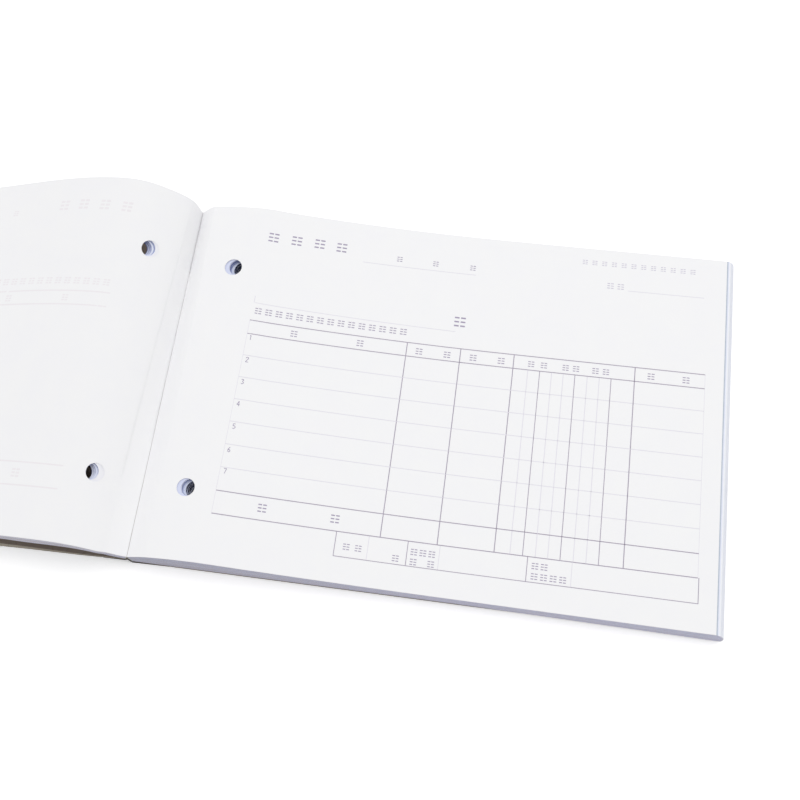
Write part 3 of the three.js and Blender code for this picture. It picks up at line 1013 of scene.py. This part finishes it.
rule("rule", form["boxLeft"], form["boxBottom"], form["boxRight"], form["boxBottom"], thin)
rule("rule", form["boxRight"], form["boxBottom"], form["boxRight"], form["bottom"], thin)
for x in form["boxStrong"]:
    rule("rule", x, form["bottom"], x, form["boxBottom"], thin)
for x in form["boxHair"]:
    rule("hairline", x, form["bottom"], x, form["boxBottom"], form["boxHairWidth"])
for ends in form["writingLines"]:
    rule("hairline", *ends, form["writingWidth"])

# Generic marks stand where the form has words: each is a small block of six dashes, given
# here in shares of its size.
dashBlock = {"levels": (0.36, 0.0, -0.36), "sides": (-0.25, 0.25), "reach": 0.19, "width": 0.13}
wordMarks = [
    # kind, size, row of marks as (x, y)
    ("mark", 3.9, [(27.5, 117.1), (35.5, 117.3), (43.5, 117.5), (51.2, 117.3)]),
    ("mark", 2.1, [(71.6, 115.9), (84.1, 115.8), (96.9, 115.8)]),
    ("faint", 1.9, [(134.6 + 3.27 * i, 122.5) for i in range(12)]),
    ("faint", 2.4, [(143.6, 114.2), (147.0, 114.2)]),
    ("mark", 4.2, [(94.7, 94.7)]),
    ("mark", 2.5, [(26.9 + 3.53 * i, 88.5) for i in range(15)]),
    ("mark", 2.5, [(40.1, 82.2), (62.5, 82.2), (82.4, 82.0), (91.8, 82.0), (100.5, 82.0),
                   (109.8, 82.0), (158.6, 82.1), (169.8, 82.1)]),
    ("mark", 2.3, [(119.7, 82.0), (123.9, 82.0), (131.0, 82.0), (134.4, 82.0), (140.7, 82.0),
                   (144.1, 82.0)]),
    ("mark", 3.1, [(39.9, 20.5), (63.3, 20.4)]),
    ("mark", 2.3, [(68.1, 11.9), (71.9, 11.9), (83.8, 10.4), (89.3, 13.2), (92.1, 13.2),
                   (94.9, 13.2), (89.4, 10.0), (94.9, 10.0)]),
    ("mark", 2.3, [(126.8, 13.7), (129.6, 13.7), (126.8, 10.4), (129.7, 10.4), (132.6, 10.4),
                   (135.5, 10.4)]),
]
for kind, size, places in wordMarks:
    for x, y in places:
        for level in dashBlock["levels"]:
            for side in dashBlock["sides"]:
                middle, reach = x + side * size, size * dashBlock["reach"]
                rule(kind, middle - reach, y + level * size, middle + reach, y + level * size,
                     size * dashBlock["width"])

showingThrough = formLines["rule"] + formLines["mark"]

# Row numbers 1 to 7, each one stroke on a cell of 1 by 2
digitCell = {"halfWidth": 0.45, "halfHeight": 0.85, "stroke": 0.22}
digitStrokes = [
    [(0.3, 1.7), (0.6, 2.0), (0.6, 0.0)],
    [(0.0, 1.6), (0.3, 2.0), (0.8, 2.0), (1.0, 1.5), (0.0, 0.0), (1.0, 0.0)],
    [(0.0, 1.8), (0.5, 2.0), (0.9, 1.6), (0.4, 1.1), (1.0, 0.6), (0.5, 0.0), (0.0, 0.2)],
    [(0.7, 0.0), (0.7, 2.0), (0.0, 0.6), (1.0, 0.6)],
    [(0.9, 2.0), (0.15, 2.0), (0.1, 1.1), (0.7, 1.2), (1.0, 0.6), (0.5, 0.0), (0.0, 0.2)],
    [(0.8, 2.0), (0.1, 0.9), (0.2, 0.1), (0.7, 0.0), (1.0, 0.5), (0.6, 1.0), (0.1, 0.8)],
    [(0.0, 2.0), (1.0, 2.0), (0.4, 0.0)],
]
numberPlaces = [(26.0, 78.4), (26.3, 70.3), (26.2, 62.3), (26.2, 54.4), (26.2, 46.4),
                (26.0, 38.3), (26.0, 30.9)]
for stroke, (x, y) in zip(digitStrokes, numberPlaces):
    halfWidth, halfHeight = digitCell["halfWidth"], digitCell["halfHeight"]
    spots = [(x - halfWidth + 2 * halfWidth * u, y - halfHeight + halfHeight * v)
             for u, v in stroke]
    for a, b in zip(spots, spots[1:]):
        rule("mark", *a, *b, digitCell["stroke"])

inkNames = {"rule": "formRules", "hairline": "formHairlines", "mark": "formMarks",
            "faint": "formSmallMarks"}
for kind, lines in formLines.items():
    shape = newShape()
    for start, end, width in lines:
        addInk(shape, pageTree, start, end, width)
    makePiece(inkNames[kind], shape, [inks[kind]], "top_sheet", [])

# The turned sheet carries the same form on its hidden side, and it shows through, mirrored.
pageLengths = np.arange(0, paper["width"], 0.5)
pageAlong = [faces["topSheet"](s, paper["height"] / 2)[0] for s in pageLengths]


def mirrored(x, y):
    s = float(np.interp(x, pageAlong, pageLengths))
    return (float(faces["turnedTopSheet"](s, y)[0]), y)


shape = newShape()
for start, end, width in showingThrough:
    pieces = max(1, math.ceil(math.dist(start, end) / form["ghostStep"]))
    for i in range(pieces):
        a = [mix(start[k], end[k], i / pieces) for k in (0, 1)]
        b = [mix(start[k], end[k], (i + 1) / pieces) for k in (0, 1)]
        addInk(shape, turnedTree, mirrored(*a), mirrored(*b), width * form["ghostSpread"])
makePiece("formShowThrough", shape, [inks["ghost"]], "turned_leaves", [])
print("form printed")

# Studio
studio = {
    "floor": "#f6f6f6",
    "floorReach": 4.0,
    "floorDrop": 0.00006,  # keeps it clear of the book's underside
    "floorGlow": 0.36,  # seen but lights nothing: the lit floor is white and its shadow stays
    "worldFront": 0.55,  # the room is darker on the reader's side
    "worldBack": 0.99,
    "worldTurn": (-0.6, 0.3),  # where it starts and stops getting lighter, front to back
    "keyPower": 5.3,
    "keySize": 1.6,
    "keyPlace": (0.1, 0.45, 1.3),
}


# Tells the rays that show the room, straight or through a reflection, from those that light it.
def seenRays(tree):
    rays = addNode(tree, "ShaderNodeLightPath")
    seen = rays.outputs["Is Camera Ray"]
    for kind in ("Is Glossy Ray", "Is Transmission Ray"):
        seen = addNode(tree, "ShaderNodeMath", {0: seen, 1: rays.outputs[kind]},
                       operation="MAXIMUM").outputs["Value"]
    return seen


floorMesh = bpy.data.meshes.new("studioFloor")
reach, drop = studio["floorReach"], studio["floorDrop"]
floorCorners = [(-reach, -reach), (reach, -reach), (reach, reach), (-reach, reach)]
floorMesh.from_pydata([(x, y, -drop) for x, y in floorCorners], [], [(0, 1, 2, 3)])
floor = bpy.data.objects.new("studioFloor", floorMesh)
bpy.context.scene.collection.objects.link(floor)
floor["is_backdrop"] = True
floorMaterial, tree = startMaterial("studioFloorPaper")[:2]
glowing = addNode(tree, "ShaderNodeMath", {0: seenRays(tree), 1: studio["floorGlow"]},
                  operation="MULTIPLY")
matt = addNode(tree, "ShaderNodeBsdfDiffuse", {"Color": paint(studio["floor"])})
glow = addNode(tree, "ShaderNodeEmission", {
    "Color": (1, 1, 1, 1), "Strength": glowing.outputs["Value"]})
both = addNode(tree, "ShaderNodeAddShader", {0: matt.outputs["BSDF"], 1: glow.outputs["Emission"]})
addNode(tree, "ShaderNodeOutputMaterial", {"Surface": both.outputs["Shader"]})
floorMesh.materials.append(floorMaterial)

world = bpy.data.worlds.new("studioWorld")
bpy.context.scene.world = world
world.use_nodes = True
tree = world.node_tree
tree.nodes.clear()
compass = addNode(tree, "ShaderNodeSeparateXYZ", {
    "Vector": addNode(tree, "ShaderNodeTexCoord").outputs["Generated"]})
room = addNode(tree, "ShaderNodeMapRange", {
    "Value": compass.outputs["Y"],
    "From Min": studio["worldTurn"][0], "From Max": studio["worldTurn"][1],
    "To Min": studio["worldFront"], "To Max": studio["worldBack"]}, interpolation_type="SMOOTHSTEP")
strength = addNode(tree, "ShaderNodeMapRange", {
    "Value": seenRays(tree), "To Min": room.outputs["Result"], "To Max": 1.0})
sky = addNode(tree, "ShaderNodeBackground", {
    "Color": (1, 1, 1, 1), "Strength": strength.outputs["Result"]})
addNode(tree, "ShaderNodeOutputWorld", {"Surface": sky.outputs["Background"]})

keyLight = bpy.data.lights.new("softKey", "AREA")
keyLight.energy = studio["keyPower"]
keyLight.size = studio["keySize"]
key = bpy.data.objects.new("softKey", keyLight)
key.location = studio["keyPlace"]
key.rotation_euler = (Vector((0, 0, 0)) - key.location).to_track_quat("-Z", "Y").to_euler()
bpy.context.scene.collection.objects.link(key)

# Camera, from the fit to the photograph
view = {
    "place": (0.10646, -0.15257, 0.37080),
    "right": (0.98586, 0.15096, -0.07272),
    "up": (-0.11094, 0.91329, 0.39191),
    "back": (0.12558, -0.37830, 0.91712),
    "lens": 54.0,
    "shift": (0.088, -0.00075),
}
cameraData = bpy.data.cameras.new("photoCamera")
cameraData.lens = view["lens"]
cameraData.sensor_width = 36.0
cameraData.shift_x, cameraData.shift_y = view["shift"]
cameraData.clip_start = 0.01
camera = bpy.data.objects.new("photoCamera", cameraData)
axes = Matrix((view["right"], view["up"], view["back"])).transposed()
camera.matrix_world = Matrix.Translation(view["place"]) @ axes.to_4x4()
bpy.context.scene.collection.objects.link(camera)
bpy.context.scene.camera = camera
bpy.context.scene.view_settings.view_transform = "Standard"
print("studio and camera set")

size = {"cad": [list(corner) for corner in cadBox], "visual": [list(corner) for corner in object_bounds()]}
